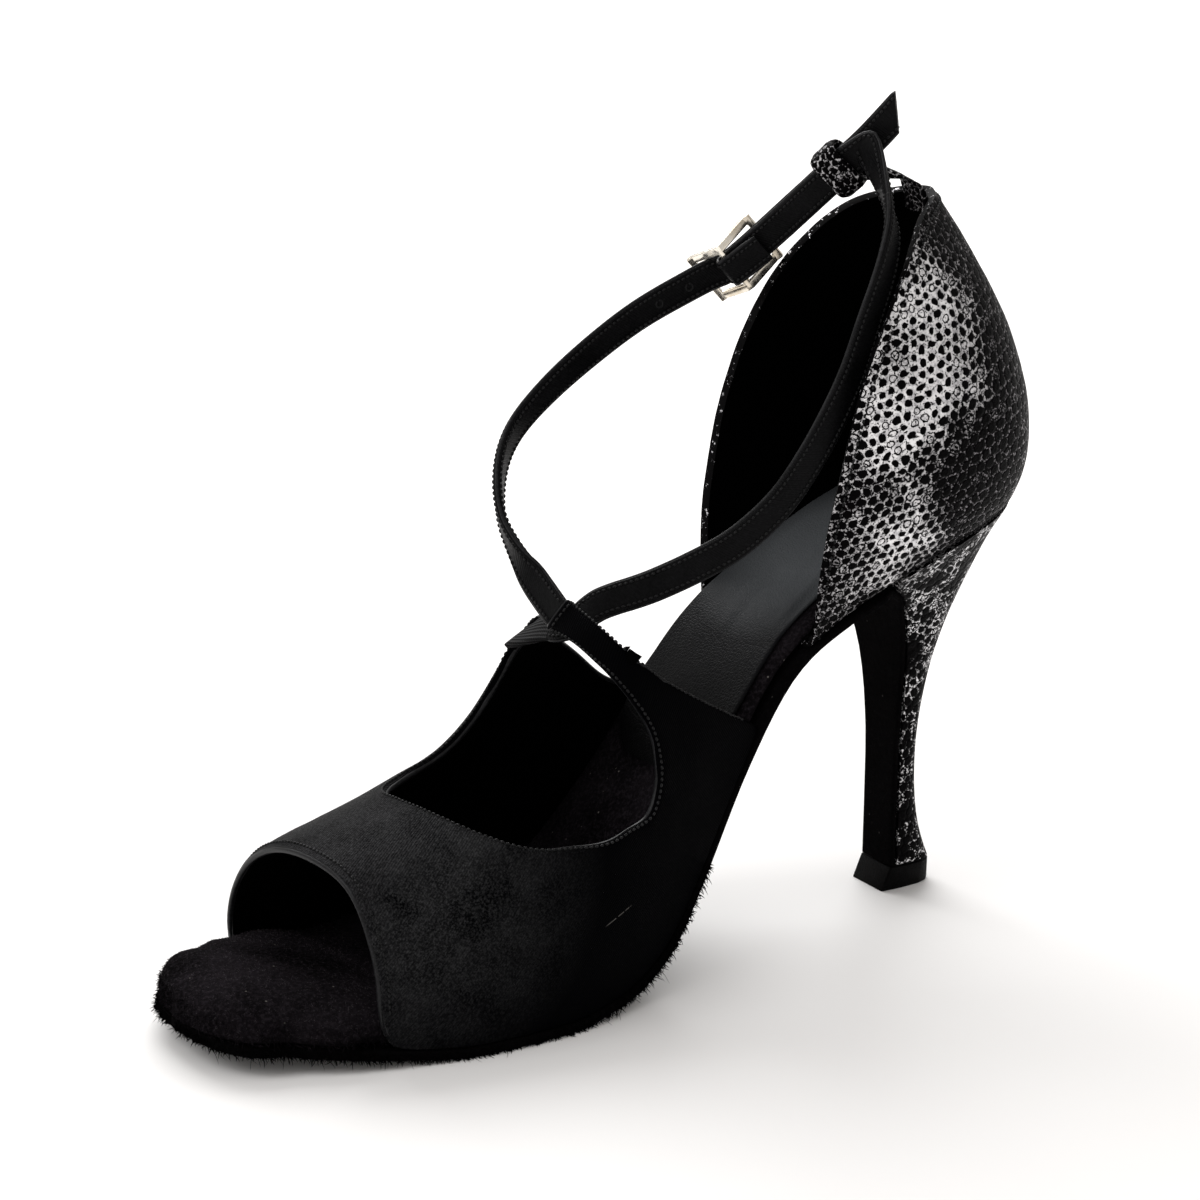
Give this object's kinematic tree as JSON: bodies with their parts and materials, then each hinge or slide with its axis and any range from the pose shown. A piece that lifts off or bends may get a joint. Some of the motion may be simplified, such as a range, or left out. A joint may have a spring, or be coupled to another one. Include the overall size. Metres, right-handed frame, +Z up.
{
  "type": "ballroom dance shoe",
  "caption": "Open-toe ballroom dance shoe with a slim flared heel, a suede sole, a closed counter and crossing ankle straps with a buckle.",
  "frame": {"origin": "centre of the bounding box in plan, at the floor the shoe stands on", "axes": "the toe points along -X, the arch side faces -Y, +Z is up"},
  "size_m": [0.2144, 0.077, 0.1857],
  "materials": {
    "suede": "black napped suede",
    "satin": "black fine twill satin",
    "sock_leather": "dark grey fine-grained leather",
    "snake_print": "black leather with a silver foil snake print",
    "rubber": "hard black top piece",
    "elastic": "ribbed dark grey elastic",
    "metal": "pale gold polished metal"
  },
  "bodies": {
    "root": {"outsole": "suede", "insole": "suede", "sock": "sock_leather", "vamp": "satin", "counter": "snake_print", "heel": "snake_print", "heel_tip": "rubber", "strap_over": "satin", "strap_under": "satin", "elastic": "elastic", "loop": "snake_print", "buckle": "metal", "prong": "metal"}
  },
  "joints": []
}
